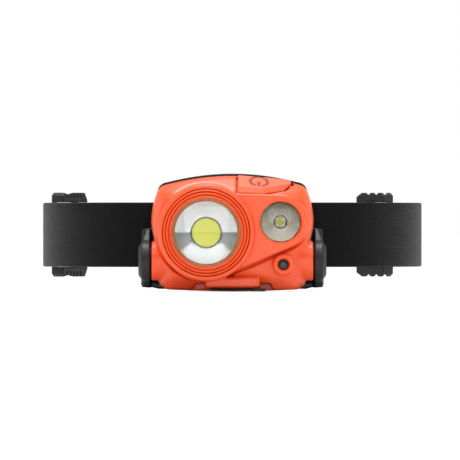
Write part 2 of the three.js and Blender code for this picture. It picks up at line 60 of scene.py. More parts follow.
LAYER_GAP = 0.35
STRAP_BAR = {"inboard": 28.6, "outboard": 32.6, "front": 19.6, "back": 22.2, "half": 19.2}
FOLD_BACK = 23.4
BARREL = {"radius": 9.0, "half": 37.4}
TOP_CURVE = 0.0042
BUTTON_CROWN = 0.0012
CAMERA = {"distance": 6.0, "span": 0.2123, "aim": (-1.1, -18.0, 2.2)}
FLOOR_HALF = 40.0
BUTTON = {"origin": (14.2, -1.1, 26.75), "pitch": 31.0, "roll": 6.0}
ADJUSTERS = {
    "right": {"sign": 1, "angle": 39.4, "half": 10.0, "chamfer": (3.9, 1.9), "notches": (-3.5, 0.15, 4.15),
              "depth": 1.2, "slope": 1.3, "ridges": ()},
    "left": {"sign": -1, "angle": 28.2, "half": 12.0, "chamfer": (2.4, 3.5), "notches": (0.0,),
             "depth": 0.75, "slope": 0.4, "ridges": (-8.2, -5.0, -1.8, 1.4, 4.6)},
}


# ---------------------------------------------------------------- distance fields
def smax(a, b, k):
    """The larger of two fields, rounded over a width k."""
    h = np.clip(k - np.abs(a - b), 0, None) / k
    return np.maximum(a, b) + h * h * k / 4


def smin(a, b, k):
    return -smax(-a, -b, k)


def met(a, b, r):
    """Two fields that end each other in an edge of radius r; both come in already shrunk by r."""
    return np.hypot(np.maximum(a, 0), np.maximum(b, 0)) + np.minimum(np.maximum(a, b), 0) - r


def box(p, lo, hi, r=0.0):
    lo, hi = np.array(lo, float), np.array(hi, float)
    q = np.abs(p - (lo + hi) / 2) - (hi - lo) / 2 + r
    return np.linalg.norm(np.maximum(q, 0), axis=1) + np.minimum(q.max(1), 0) - r


def tube(p, axis, centre, radius, lo, hi, r=0.0):
    """A cylinder along one axis between two stations, centred on the other two coordinates."""
    others = [i for i in range(3) if i != axis]
    across = np.hypot(p[:, others[0]] - centre[0], p[:, others[1]] - centre[1]) - radius + r
    along = np.abs(p[:, axis] - (lo + hi) / 2) - (hi - lo) / 2 + r
    return met(across, along, r)


def cone(p, centre, radius, y, slope):
    """A cone round a Y line that has this radius at depth y and widens by slope per mm towards the front."""
    across = np.hypot(p[:, 0] - centre[0], p[:, 2] - centre[1])
    return (across - radius - (y - p[:, 1]) * slope) / math.hypot(1, slope)


def outline(a, b, points):
    """Signed distance to a closed polygon in the (a, b) plane."""
    pts = np.array(points, float)
    nearest = np.full(a.shape, 1e9)
    inside = np.zeros(a.shape, bool)
    for (x0, y0), (x1, y1) in zip(pts, np.roll(pts, -1, 0)):
        ex, ey = x1 - x0, y1 - y0
        wx, wy = a - x0, b - y0
        t = np.clip((wx * ex + wy * ey) / (ex * ex + ey * ey), 0, 1)
        nearest = np.minimum(nearest, (wx - t * ex) ** 2 + (wy - t * ey) ** 2)
        crosses = (y0 > b) != (y1 > b)
        if y1 != y0:
            inside ^= crosses & (a < (b - y0) * ex / (y1 - y0) + x0)
    return np.where(inside, -1, 1) * np.sqrt(nearest)


def prism(flat, along, lo, hi, r=0.0):
    """A flat field drawn out between two stations, with its edges rounded by r."""
    across = flat + r
    ends = np.abs(along - (lo + hi) / 2) - (hi - lo) / 2 + r
    return met(across, ends, r)


def drawn_on(field, verts, step):
    """Moves vertices along the field's slope onto its zero level, each by less than a cell."""
    home = verts.copy()
    e = step * 0.05
    for _ in range(5):
        d = field(verts)
        slope = np.stack([field(verts + shift) - field(verts - shift) for shift in e * np.eye(3)], 1)
        slope /= 2 * e
        verts = verts - (d / np.maximum((slope**2).sum(1), 0.25))[:, None] * slope * 0.9
        verts = home + np.clip(verts - home, -0.75 * step, 0.75 * step)
    return verts


def surface(field, lo, hi, step):
    """Closed quad mesh of a field's zero level inside a box, with one vertex per crossed cell."""
    lo, hi = np.array(lo, float), np.array(hi, float)
    count = np.ceil((hi - lo) / step).astype(int) + 1
    axes = [lo[i] + step * np.arange(count[i]) for i in range(3)]
    grid = np.stack(np.meshgrid(*axes, indexing="ij"), -1).reshape(-1, 3)
    values = np.concatenate([field(part) for part in np.array_split(grid, 1 + len(grid) // 400000)])
    values = values.reshape(count)
    cells = tuple(count - 1)
    total, hits = np.zeros(cells + (3,)), np.zeros(cells)
    quads = []
    for axis in range(3):
        a = values.take(range(0, count[axis] - 1), axis)
        b = values.take(range(1, count[axis]), axis)
        crossed = (a < 0) != (b < 0)
        at = np.argwhere(crossed)
        point = at.astype(float)
        va, vb = a[crossed], b[crossed]
        point[:, axis] += va / (va - vb)
        u, v = (axis + 1) % 3, (axis + 2) % 3
        ring = []
        for du, dv in ((0, 0), (-1, 0), (-1, -1), (0, -1)):
            cell = at.copy()
            cell[:, u] += du
            cell[:, v] += dv
            ring.append(cell)
        whole = np.all([((c >= 0) & (c < np.array(cells))).all(1) for c in ring], axis=0)
        for cell in ring:
            ok = ((cell >= 0) & (cell < np.array(cells))).all(1)
            where = tuple(cell[ok].T)
            np.add.at(total, where, point[ok])
            np.add.at(hits, where, 1)
        corner = [np.ravel_multi_index(tuple(cell[whole].T), cells) for cell in ring]
        quad = np.stack(corner, 1)
        rising = (va < 0)[whole]
        quads.append(np.where(rising[:, None], quad, quad[:, ::-1]))
    used = np.flatnonzero(hits.ravel())
    number = np.full(hits.size, -1)
    number[used] = np.arange(len(used))
    verts = lo + step * total.reshape(-1, 3)[used] / hits.ravel()[used][:, None]
    return drawn_on(field, verts, step), number[np.concatenate(quads)]


# ---------------------------------------------------------------- meshes
def add_mesh(name, verts, faces, material, body=None, smooth=True):
    """Makes an object from millimetre vertices, gives it a material and puts it on a CAD body."""
    data = bpy.data.meshes.new(name)
    data.from_pydata((np.asarray(verts, float) + SHIFT) / 1000, [], [list(map(int, f)) for f in faces])
    data.polygons.foreach_set("use_smooth", [smooth] * len(data.polygons))
    data.update()
    data.materials.append(material)
    obj = bpy.data.objects.new(name, data)
    bpy.context.scene.collection.objects.link(obj)
    if body:
        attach(obj, body)
    return obj


def add_moulded(name, field, lo, hi, step, material, body, nodes):
    verts, faces = surface(field, lo, hi, step)
    obj = add_mesh(name, verts, faces, material, body)
    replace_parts(obj, *nodes)
    return obj


def add_turned(name, profile, centre, material, body, segments=128, sharp=35):
    """A surface turned round a Y line from [radius, y] points; a closed profile makes a ring."""
    angles = [2 * math.pi * i / segments for i in range(segments)]
    ring = [(math.sin(a), math.cos(a)) for a in angles]
    verts = [(centre[0] + r * s, y, centre[1] + r * c) for r, y in profile for s, c in ring]
    rows = len(profile)
    faces = []
    for k in range(rows - 1):
        near, far = k * segments, (k + 1) * segments
        for i in range(segments):
            j = (i + 1) % segments
            faces.append((near + i, near + j, far + j, far + i))
    obj = add_mesh(name, verts, faces, material, None)
    weld = obj.modifiers.new("weld", "WELD")
    weld.merge_threshold = 1e-6
    obj.data.set_sharp_from_angle(angle=math.radians(sharp))
    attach(obj, body)
    return obj


# ---------------------------------------------------------------- materials
def linear(*rgb):
    return tuple(((c / 255 + 0.055) / 1.055) ** 2.4 if c > 10 else c / 255 / 12.92 for c in rgb) + (1.0,)


class Look:
    """A Principled material with helpers for the nodes that drive it."""

    def __init__(self, name, color, roughness, **values):
        self.material = bpy.data.materials.new(name)
        self.material.use_nodes = True
        self.nodes = self.material.node_tree.nodes
        self.links = self.material.node_tree.links
        self.shader = self.nodes["Principled BSDF"]
        self.shader.inputs["Base Color"].default_value = color
        self.shader.inputs["Roughness"].default_value = roughness
        for key, value in values.items():
            self.shader.inputs[key.replace("_", " ")].default_value = value

    def node(self, kind, **inputs):
        made = self.nodes.new(kind)
        for key, value in inputs.items():
            made.inputs[key.replace("_", " ")].default_value = value
        return made

    def coordinates(self, which="Object"):
        return self.nodes.new("ShaderNodeTexCoord").outputs[which]

    def grain(self, scale, distance):
        """Fine moulded texture as a bump."""
        noise = self.node("ShaderNodeTexNoise", Scale=scale, Detail=2.0)
        self.links.new(self.coordinates(), noise.inputs["Vector"])
        bump = self.node("ShaderNodeBump", Strength=1.0, Distance=distance)
        self.links.new(noise.outputs["Fac"], bump.inputs["Height"])
        self.links.new(bump.outputs["Normal"], self.shader.inputs["Normal"])
        return self

    def mottle(self, scale, low, high):
        """Slow variation of the roughness between low and high."""
        noise = self.node("ShaderNodeTexNoise", Scale=scale, Detail=3.0)
        self.links.new(self.coordinates(), noise.inputs["Vector"])
        spread = self.node("ShaderNodeMapRange", To_Min=low, To_Max=high)
        self.links.new(noise.outputs["Fac"], spread.inputs["Value"])
        self.links.new(spread.outputs["Result"], self.shader.inputs["Roughness"])
        return self

    def painted_shade_by_height(self, colors, heights):
        """Base colour that runs between two heights in the band frame, used to paint reflection and shade by
        height.
        """
        split = self.nodes.new("ShaderNodeSeparateXYZ")
        self.links.new(self.coordinates(), split.inputs[0])
        spread = self.nodes.new("ShaderNodeMapRange")
        for key, height in zip(("From Min", "From Max"), heights):
            spread.inputs[key].default_value = (height + SHIFT[2]) / 1000
        self.links.new(split.outputs["Z"], spread.inputs["Value"])
        mix = self.nodes.new("ShaderNodeMix")
        mix.data_type = "RGBA"
        for key, rgb in zip("AB", colors):
            mix.inputs[key].default_value = linear(*rgb)
        self.links.new(spread.outputs["Result"], mix.inputs["Factor"])
        self.links.new(mix.outputs["Result"], self.shader.inputs["Base Color"])
        return self


def plastic(name, rgb, roughness, grain_scale=2600, grain_depth=2e-5, **values):
    look = Look(name, linear(*rgb), roughness, **values)
    return look.grain(grain_scale, grain_depth).mottle(90, roughness - 0.04, roughness + 0.05).material


def webbing_material():
    """Elastic webbing: fine ribs across the band crossed by rows of threads, from the strip's own UV map."""
    look = Look("webbing", linear(13, 13, 14), 0.42, Specular_IOR_Level=0.05, Sheen_Weight=0.02,
                Sheen_Roughness=0.3)
    split = look.nodes.new("ShaderNodeSeparateXYZ")
    look.links.new(look.coordinates("UV"), split.inputs[0])

    def thread(source, pitch, phase=None):
        scaled = look.nodes.new("ShaderNodeMath")
        scaled.operation = "MULTIPLY"
        scaled.inputs[1].default_value = 2 * math.pi / pitch
        look.links.new(source, scaled.inputs[0])
        wave = look.nodes.new("ShaderNodeMath")
        wave.operation = "SINE"
        if phase is None:
            look.links.new(scaled.outputs[0], wave.inputs[0])
        else:
            add = look.nodes.new("ShaderNodeMath")
            look.links.new(scaled.outputs[0], add.inputs[0])
            look.links.new(phase, add.inputs[1])
            look.links.new(add.outputs[0], wave.inputs[0])
        return wave.outputs[0]

    ribs = thread(split.outputs["Y"], 0.9)
    rows = thread(split.outputs["X"], 0.7, ribs)
    height = look.nodes.new("ShaderNodeMath")
    height.operation = "ADD"
    look.links.new(ribs, height.inputs[0])
    look.links.new(rows, height.inputs[1])
    bump = look.node("ShaderNodeBump", Strength=0.5, Distance=5e-5)
    look.links.new(height.outputs[0], bump.inputs["Height"])
    look.links.new(bump.outputs["Normal"], look.shader.inputs["Normal"])
    shade = look.nodes.new("ShaderNodeMapRange")
    shade.inputs["From Min"].default_value = -2
    shade.inputs["From Max"].default_value = 2
    look.links.new(height.outputs[0], shade.inputs["Value"])
    mix = look.nodes.new("ShaderNodeMix")
    mix.data_type = "RGBA"
    mix.inputs["A"].default_value = linear(11, 11, 12)
    mix.inputs["B"].default_value = linear(25, 25, 26)
    look.links.new(shade.outputs["Result"], mix.inputs["Factor"])
    look.links.new(mix.outputs["Result"], look.shader.inputs["Base Color"])
    return look.material


def lens_material(name):
    """Clear plastic; the alpha lets enough light reach the parts behind it."""
    look = Look(name, linear(240, 246, 248), 0.02, Transmission_Weight=1.0, IOR=1.45, Alpha=0.45)
    return look.material


ORANGE = plastic("orange_plastic", (234, 83, 31), 0.34, Specular_IOR_Level=0.5)
ORANGE_BUTTON = plastic("orange_button", (234, 88, 43), 0.42, 3200, 2.5e-5, Specular_IOR_Level=0.4)
# Painted shade: a darker orange-red for the shade inside the engraved power sign.
ENGRAVING_PAINTED_SHADE = plastic("engraving_painted_shade", (140, 36, 14), 0.6)
# Painted shade: the bezel's inner funnel is the housing's orange plastic, given a darker brownish orange for
# the shade inside it.
BEZEL_CONE_PAINTED_SHADE = plastic("bezel_cone", (196, 104, 62), 0.5)
BLACK = plastic("black_nylon", (27, 27, 28), 0.48, 1500, 4e-5, Specular_IOR_Level=0.35)
RUBBER = plastic("black_rubber", (24, 24, 25), 0.62, 3000, 2e-5, Specular_IOR_Level=0.35)
WEBBING = webbing_material()
LENS = lens_material("flood_lens_glass")
SPOT_LENS = lens_material("spot_lens_glass")
WHITE_GLOSS = Look("white_reflector", linear(202, 202, 202), 0.13, Metallic=1.0).material
# Painted reflection and shade on the spot cup: its metal colour runs from dark at the top to light at the
# bottom.
SPOT_CUP_PAINTED_REFLECTION = Look("spot_reflector_painted_reflection", linear(204, 205, 180), 0.4, Metallic=1.0)
SPOT_CUP_PAINTED_REFLECTION = SPOT_CUP_PAINTED_REFLECTION.painted_shade_by_height(((98, 98, 80), (246, 246, 230)), (SPOT[1] + 8, SPOT[1] - 8)).material
PHOSPHOR = plastic("phosphor", (240, 246, 76), 0.4, 5000, 1e-5)
DARK_GLOSS = Look("sensor_window", linear(30, 36, 40), 0.25).material
DARK_RIM = plastic("dark_rim", (60, 62, 40), 0.5)
PACKAGE = plastic("led_package", (178, 170, 180), 0.35)
DOME = Look("led_dome", linear(205, 205, 90), 0.06, Transmission_Weight=0.4, IOR=1.45).material
ALUMINIUM = Look("aluminium", linear(190, 192, 195), 0.35, Metallic=1.0).material
STEEL = Look("steel", linear(140, 142, 146), 0.3, Metallic=1.0).material
BOARD = plastic("circuit_board", (20, 80, 45), 0.4)
FOIL = Look("battery_foil", linear(150, 155, 160), 0.35, Metallic=0.8).material


# ---------------------------------------------------------------- lamp shells
def body_points(grow):
    """The body's outline seen from the front; grow moves it out."""
    top = [(x, 27.8 - TOP_CURVE * x * x) for x in np.linspace(31.5, 0, 8)]
    side = [(31.3, -25.3), (34.2, -23.6), (34.8, -21), (35.6, -12), (36.4, -2.6), (37.1, 0.6), (37.6, 3.2),
            (37.85, 6)]
    upper = [(37.85 - 0.0135 * (z - 6) ** 2, z) for z in (9, 12, 15, 18, 21)] + [(33.6, 22.8)]
    bottom = [(x, -26.2 + 0.00095 * x * x) for x in (0, 10, 20)]
    right = bottom + side + upper + top
    whole = right + [(-x, z) for x, z in reversed(right[1:-1])]
    return [(x * (1 + grow / 37.6), 0.9 + (z - 0.9) * (1 + grow / 27.1)) for x, z in whole]


SHELL_ROUND = 2.0
MARK = {"centre": (-1.9, -4.4), "radius": 4.0, "half": 0.58}
BODY_INNER = body_points(-SHELL_ROUND)


def body_flat(p):
    return outline(p[:, 0], p[:, 2], BODY_INNER) - SHELL_ROUND


def button_frame():
    pitch, roll = math.radians(BUTTON["pitch"]), math.radians(BUTTON["roll"])
    return np.array(Matrix.Rotation(pitch, 3, "X") @ Matrix.Rotation(roll, 3, "Y"))


def in_button(p):
    """Points in the button's own frame: x across, y towards the back, z out of its face."""
    return (p - np.array(BUTTON["origin"])) @ button_frame()


def button_flat(q, margin):
    """The button's plan: straight at the back and left, slanting away at the front right."""
    plan = [(-11.6, 0), (-11.6, -13.6), (0.1, -13.2), (9.6, -8.5), (13.2, -2.6), (12.6, 0)]
    return outline(q[:, 0], q[:, 1], plan) - margin


def plate_flat(x, z):
    circle = np.hypot(x - FLOOD[0], z - FLOOD[1]) - 22.2
    spot = np.hypot(x - SPOT[0], z - SPOT[1]) - 12.55
    web = outline(x, z, [(-12, 19.6), (22.3, 18.45), (30, 8), (26.98, -5.74), (2.8, -16.2), (-6, -19.6)])
    return np.minimum(np.minimum(circle, spot), web)


def front_shell(p):
    x, y, z = p.T
    pitch = math.radians(BUTTON["pitch"])
    slope = (z + TOP_CURVE * x * x - 27.7 - y * math.tan(pitch)) * math.cos(pitch)
    half_width = 40.3 - np.where(z > 6, 0.0125 * (z - 6) ** 2, 0.15 * (6 - z))
    domed = smax(np.abs(x) - half_width, -13.4 - y, 24)
    chin_line = -17.4 - 0.15 * np.clip(x, -4, 30)
    under = ((-13.0 - y) * 9.5 + (chin_line - z) * 9.5) / 13.4
    body = smax(smax(smax(domed, body_flat(p), 2.5), slope, 2.5), under, 2.0)
    barrel = tube(p, 0, (0, PIVOT_Z), BARREL["radius"], -BARREL["half"], BARREL["half"], 0.7)
    body = smin(body, barrel, 1.2)
    # The body is sunk a little along the plate's edge, more below than above.
    flat = plate_flat(x, z)
    depth = np.clip(1.3 - 0.07 * z, 0.2, 1.9) * np.clip((z + 24) / 6, 0.3, 1)
    depth *= np.clip((34.5 - np.abs(x)) / 6, 0.2, 1)
    body = smin(smax(body, 1.1 - flat, 0.8), body + depth, 0.4)
    plate = prism(flat, y, -17.3, 0.0, 1.1)
    lip = tube(p, 1, FLOOD, 22.3, -20.6, 0, 1.5)
    body = smin(smin(body, plate, 0.35), lip, 0.5)
    boss = tube(p, 1, SENSOR, 5.0, -15.8, 0, 1.7)
    chin = box(p, (-12.4, -14.6, -24.6), (12.6, -1, -19.6), 1.3)
    recess = prism(outline(x, z, [(-19.8, -28), (-17, -22.3), (17.6, -22.3), (20.4, -28)]), y, -22, -3.4, 0.4)
    body = smax(body, -recess, 0.5)
    body = smin(smin(body, boss, 0.8), chin, 0.5)
    across_flood = np.hypot(x - FLOOD[0], z - FLOOD[1])
    bore = prism(across_flood - 20.3, y, -30, -15.9)
    aperture = prism(across_flood - 16.2, y, -30, -4)
    spot_bore = prism(np.hypot(x - SPOT[0], z - SPOT[1]) - 9.3, y, -30, -4)
    spot_cone = np.maximum(cone(p, SPOT, 9.0, -16.0, 0.95), y + 15.4)
    eye = prism(np.hypot(x - SENSOR[0], z - SENSOR[1]) - 2.5, y, -30, -9)
    eye_cone = np.maximum(cone(p, SENSOR, 2.5, -14.6, 0.7), y + 12)
    q = in_button(p)
    slot = 0.8 + 0.25 * np.clip(q[:, 0] - 1, 0, 2)
    pocket = prism(button_flat(q, 0) - slot, q[:, 2], -3.0, 9, 0.1)
    for cut in (bore, aperture, spot_bore, spot_cone, eye, eye_cone, pocket):
        body = smax(body, -cut, 0.25)
    return smax(body, y - 0.8, 0.3)


def rear_shell(p):
    x, y, z = p.T
    body = smax(body_flat(p * [1.014, 1, 1] - [0, 0, 0.6]) + 0.1, y - 11.6, 6)
    swing = np.where(z > PIVOT_Z, y - 12, np.hypot(y, z - PIVOT_Z) - 14.05)
    barrel = tube(p, 0, (0, PIVOT_Z), BARREL["radius"], -BARREL["half"], BARREL["half"], 0.9)
    body = smin(smax(body, swing, 0.6), barrel, 1.5)
    for sx, sz in ((-31, 16.5), (31, 18), (-31.3, -1.5), (31.3, -3)):
        body = smax(body, -tube(p, 1, (sx, sz), 2.2, 7.2, 20), 0.3)
    return smax(body, 1.4 - y, 0.4)


def power_button(p):
    q = in_button(p)
    crown = q[:, 2] + BUTTON_CROWN * q[:, 0] ** 2
    bevel = crown + np.clip(-10.0 - q[:, 1] + 0.5 * np.clip(q[:, 0], 0, None), 0, None) * 0.4
    pad = smax(prism(button_flat(q, 0), bevel, -9.0, 0.0, 0.3), -1.6 - crown, 0.1)
    groove = np.maximum(mark_flat(q[:, 0], q[:, 1]) - 0.12, -0.3 - crown)
    return smax(pad, -groove, 0.15)


def mark_flat(u, v):
    """Distance to the power sign on the button: an open ring with a bar through the opening."""
    du, dv = u - MARK["centre"][0], v - MARK["centre"][1]
    ring = np.abs(np.hypot(du, dv) - MARK["radius"]) - MARK["half"]
    ring = np.maximum(ring, 0.85 * (1.5 - np.abs(du)) * (dv < 0) - 5 * (dv >= 0))
    bar = np.maximum(np.abs(du) - MARK["half"], np.abs(dv + 2.2) - 2.0)
    return np.minimum(ring, bar)


def port_cover(p):
    plate = box(p, (-10.4, -15.3, -25.5), (13, -3.6, -24.9), 0.25)
    tab = box(p, (8.9, -17.0, -26.1), (15.4, -9, -24.9), 0.4)
    return smin(plate, tab, 0.4)


def add_shells():
    add_moulded("housing_front", front_shell, (-38.6, -21.4, -27.2), (38.6, 1.8, 29), 0.42,
                ORANGE, "lamp", ["front_shell"])
    add_moulded("housing_rear", rear_shell, (-39, 0.6, -27.6), (39, 13, 29.8), 0.5,
                BLACK, "lamp", ["rear_shell"])
    add_moulded("button_cap", power_button, (1.5, -15, 18), (27.5, 1, 28.5), 0.22,
                ORANGE_BUTTON, "power_button", ["power_button"])
    add_moulded("port_flap", port_cover, (-12, -18, -26.8), (16.4, -2.8, -24.2), 0.25,
                RUBBER, "port_cover", ["port_cover"])
    add_power_mark()


def add_power_mark():
    """An engraved power sign: an open ring with a bar, lying on the button's face, coloured darker as painted
    shade in its groove.
    """
    turn = button_frame()
    centre = np.array(MARK["centre"])
    radius, half = MARK["radius"], MARK["half"]
    rows = []
    for angle in np.linspace(math.radians(-68), math.radians(248), 60):
        out = np.array([math.cos(angle), math.sin(angle)])
        rows.append([centre + (radius + s) * out for s in (-half, half)])
    bar = [[centre + np.array([s, t]) for s in (-half, half)] for t in (-0.4, -2.2, -4.1)]
    verts, faces = [], []
    for strip in (rows, bar):
        first = len(verts)
        for pair in strip:
            for u, v in pair:
                lift = -0.2 - BUTTON_CROWN * u * u
                verts.append(np.array(BUTTON["origin"]) + turn @ np.array([u, v, lift]))
        for i in range(len(strip) - 1):
            k = first + 2 * i
            faces.append((k, k + 1, k + 3, k + 2))
    add_mesh("power_mark", verts, faces, ENGRAVING_PAINTED_SHADE, "power_button", smooth=False)


# ---------------------------------------------------------------- lights
def add_lights():
    add_flood()
    add_spot()
    eye = [(r, -13.4 - 0.5 * math.sqrt(max(0.0, 1 - (r / 2.4) ** 2))) for r in np.linspace(0, 2.4, 10)]
    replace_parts(add_turned("sensor_eye", eye, SENSOR, DARK_GLOSS, "lamp", 48), "sensor_window")


def add_flood():
    """The ridged bezel, the domed lens, the white cup and the round yellow phosphor."""
    bezel = [(20.1, -16.0)]
    ridges = ((20.1, 18.8, -19.9, 1.4), (18.7, 17.4, -20.2, 1.5), (17.3, 16.4, -20.6, 0.8))
    for outside, inside, valley, height in ridges:
        for t in np.linspace(0.04, 0.96, 9):
            bezel.append((outside + (inside - outside) * t, valley - height * math.sin(math.pi * t) ** 0.8))
    ring = add_turned("flood_bezel", bezel, FLOOD, ORANGE, "lamp", 160, 75)
    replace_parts(ring, "flood_bezel_ring")
    # The funnel takes the darker orange of painted shade.
    funnel = [(16.44, -20.75), (14.6, -16.9), (14.6, -16.0)]
    add_turned("flood_bezel_cone", funnel, FLOOD, BEZEL_CONE_PAINTED_SHADE, "lamp", 160, 60)
    dome = [(r, -16.5 - 0.7 * (1 - (r / 14.6) ** 2)) for r in np.linspace(0, 14.6, 14)]
    back = [(14.6, -15.9), (0.0, -15.9)]
    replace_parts(add_turned("flood_window", dome + back, FLOOD, LENS, "lamp"), "flood_lens")
    cup = [(7.0, -11.1)] + [(7.0 + 7.5 * t, -11.2 - 4.4 * t**1.08) for t in np.linspace(0, 1, 12)]
    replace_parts(add_turned("flood_cup", cup, FLOOD, WHITE_GLOSS, "lamp"), "flood_reflector")
    rim = [(6.7, -11.05), (6.75, -11.4), (7.15, -11.4), (7.2, -11.0)]
    add_turned("flood_rim", rim, FLOOD, DARK_RIM, "lamp")
    cob = [(0.0, -11.25), (6.5, -11.2), (6.7, -11.0), (6.7, -10.5), (0.0, -10.5)]
    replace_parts(add_turned("flood_phosphor", cob, FLOOD, PHOSPHOR, "lamp"), "flood_led_phosphor")


def add_spot():
    dome = [(r, -16.0 - 0.5 * (1 - (r / 8.9) ** 2)) for r in np.linspace(0, 8.9, 12)]
    back = [(8.9, -15.4), (0.0, -15.4)]
    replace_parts(add_turned("spot_window", dome + back, SPOT, SPOT_LENS, "lamp"), "spot_lens")
    cup = [(2.9 + 6.0 * t, -10.2 - 4.9 * t**1.3) for t in np.linspace(0, 1, 24)]
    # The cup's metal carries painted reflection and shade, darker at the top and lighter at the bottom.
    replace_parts(add_turned("spot_cup", cup, SPOT, SPOT_CUP_PAINTED_REFLECTION, "lamp"), "spot_reflector")
    add_turned("spot_seat", [(2.5, -9.6), (2.55, -10.5), (3.0, -10.6), (3.15, -10.2)], SPOT, DARK_RIM, "lamp")
    add_led()


def add_led():
    """The spot's square package with a raised rim and a clear dome."""
    x, z = SPOT

    def package(p):
        base = box(p, (x - 2.3, -10.2, z - 2.3), (x + 2.3, -9.0, z + 2.3), 0.25)
        return smax(base, -box(p, (x - 2.0, -12, z - 2.0), (x + 2.0, -9.9, z + 2.0), 0.2), 0.1)

    verts, faces = surface(package, (x - 3, -11, z - 3), (x + 3, -8.4, z + 3), 0.12)
    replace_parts(add_mesh("spot_package", verts, faces, PACKAGE, "lamp"), "spot_led")
    core = [(x + a, -9.96, z + b) for a, b in ((-1.9, -1.9), (1.9, -1.9), (1.9, 1.9), (-1.9, 1.9))]
    add_mesh("spot_phosphor", core, [(0, 1, 2, 3)], PHOSPHOR, "lamp", smooth=False)
    cap = [(1.8 * math.cos(a), -10.0 - 1.3 * math.sin(a)) for a in np.linspace(0, math.pi / 2, 10)]
    add_turned("spot_dome", cap, SPOT, DOME, "lamp", 48)


# ---------------------------------------------------------------- yoke
def ear(p, sign):
    x, y, z = p[:, 0] * sign, p[:, 1], p[:, 2]
    side = [(17.1, 2.6), (9.5, 2.6), (3.5, -2.6), (-8, -9), (-8, -16), (9, -24.4), (17.1, -24.4)]
    arm = outline(y, z, side)
    disc = np.hypot(y, z - PIVOT_Z) - 8.9
    flat = smin(disc, np.maximum(arm, -y - 0.5), 2.0)
    lean = np.clip((z + 4.0) * 0.32, 0, 1.9)
    body = smax(prism(flat, x, 38.0, 42.0, 0.6), (x - 42.0 + lean) * 0.95, 0.3)
    boss = np.maximum(tube(np.stack([x, y, z], 1), 0, (0, PIVOT_Z), 8.9, 41, 43.5, 0.2),
                      (x - 42.0) * 0.82 + (np.hypot(y, z - PIVOT_Z) - 8.7) * 0.57)
    return np.minimum(body, boss)


def yoke(p):
    x, y, z = p.T
    edge = np.abs(x)
    rim = [(34.2, -25), (42, -22.9), (42, 2.4), (36, 3.4), (34, 16.5), (31.5, 19.2)]
    sheet = outline(edge, z, rim + [(-2, 19.2), (-2, -25)])
    plate = prism(sheet, y, 14.6, 17.1, 0.6)
    lip_flat = [(42, -22.9), (34.3, -24.9), (-2, -25.2), (-2, -23.6), (34, -22.9), (41, -20.9)]
    lip = prism(outline(edge, z, lip_flat), y, 9.5, 16, 0.4)
    lip = np.maximum(lip, 14.4 - np.hypot(y, z - PIVOT_Z))
    lip = np.maximum(lip, 0.8 * (z + 24.5) - 0.6 * (y - 9.5))
    lip = np.maximum(lip, np.minimum(13.4 - y, 22 - edge))
    body = smin(plate, lip, 0.8)
    near, far, half = STRAP_BAR["inboard"], STRAP_BAR["outboard"], STRAP_BAR["half"]
    for sign in (1, -1):
        mirrored = np.stack([x * sign, y, z], 1)
        bar = box(mirrored, (near, STRAP_BAR["front"], -half), (far, STRAP_BAR["back"], half), 0.8)
        body = smin(smin(body, ear(p, sign), 1.5), bar, 0.4)
        for low, high in ((-half, -15.7), (15.7, half)):
            body = smin(body, box(mirrored, (near, 16.5, low), (far, 20, high), 0.5), 0.5)
    return body


def add_yoke():
    add_moulded("bracket", yoke, (-44.6, -10, -26.4), (44.6, 23.4, 20.4), 0.55,
                BLACK, "yoke_and_band", ["yoke"])


# ---------------------------------------------------------------- headband
def on_loop(radius, degrees):
    a = math.radians(degrees)
    return radius * math.cos(a), LOOP["centre"] + radius * math.sin(a)


def layer(inward, from_angle, to_angle, steps=40):
    """Plan points of a layer along the +X side: negative angles run forward of the loop's widest point."""
    radius = LOOP["radius"] - inward
    a, b = radius - LOOP["flat"], LOOP["centre"] - LOOP["front"] - inward
    points = []
    for t in np.linspace(from_angle, to_angle, steps):
        angle = math.radians(t)
        if t < 0:
            points.append((LOOP["flat"] + a * math.cos(angle), LOOP["centre"] + b * math.sin(angle)))
        else:
            points.append(on_loop(radius, t))
    return points


def add_strip(name, plan, thickness, sign=1):
    """A flat strip on edge that follows plan points, with rounded edges and a UV map in millimetres."""
    plan = np.array(plan, float)
    plan = plan[np.r_[True, np.linalg.norm(np.diff(plan, axis=0), axis=1) > 1e-3]]
    tangent = np.gradient(plan, axis=0)
    tangent /= np.linalg.norm(tangent, axis=1)[:, None]
    normal = np.stack([tangent[:, 1], -tangent[:, 0]], 1)
    half, r = BAND_HEIGHT / 2, thickness / 2
    section = [(r * math.cos(a), half - r + r * math.sin(a)) for a in np.linspace(0, math.pi, 7)]
    section += [(-r, z) for z in np.linspace(half - r, -half + r, 6)[1:-1]]
    section += [(r * math.cos(a), -half + r + r * math.sin(a)) for a in np.linspace(math.pi, 2 * math.pi, 7)]
    section += [(r, z) for z in np.linspace(-half + r, half - r, 6)[1:-1]]
    n = len(section)
    length = np.r_[0, np.cumsum(np.linalg.norm(np.diff(plan, axis=0), axis=1))]
    verts = [(sign * (plan[i, 0] + s * normal[i, 0]), plan[i, 1] + s * normal[i, 1], z)
             for i in range(len(plan)) for s, z in section]
    faces = [(i * n + j, i * n + (j + 1) % n, (i + 1) * n + (j + 1) % n, (i + 1) * n + j)
             for i in range(len(plan) - 1) for j in range(n)]
    faces += [tuple(range(n))[::-1], tuple((len(plan) - 1) * n + j for j in range(n))]
    if sign < 0:
        faces = [f[::-1] for f in faces]
    obj = add_mesh(name, verts, faces, WEBBING)
    uv = obj.data.uv_layers.new(name="threads")
    for loop in obj.data.loops:
        row, column = divmod(loop.vertex_index, n)
        uv.data[loop.index].uv = (length[row], section[column][1])
    return obj


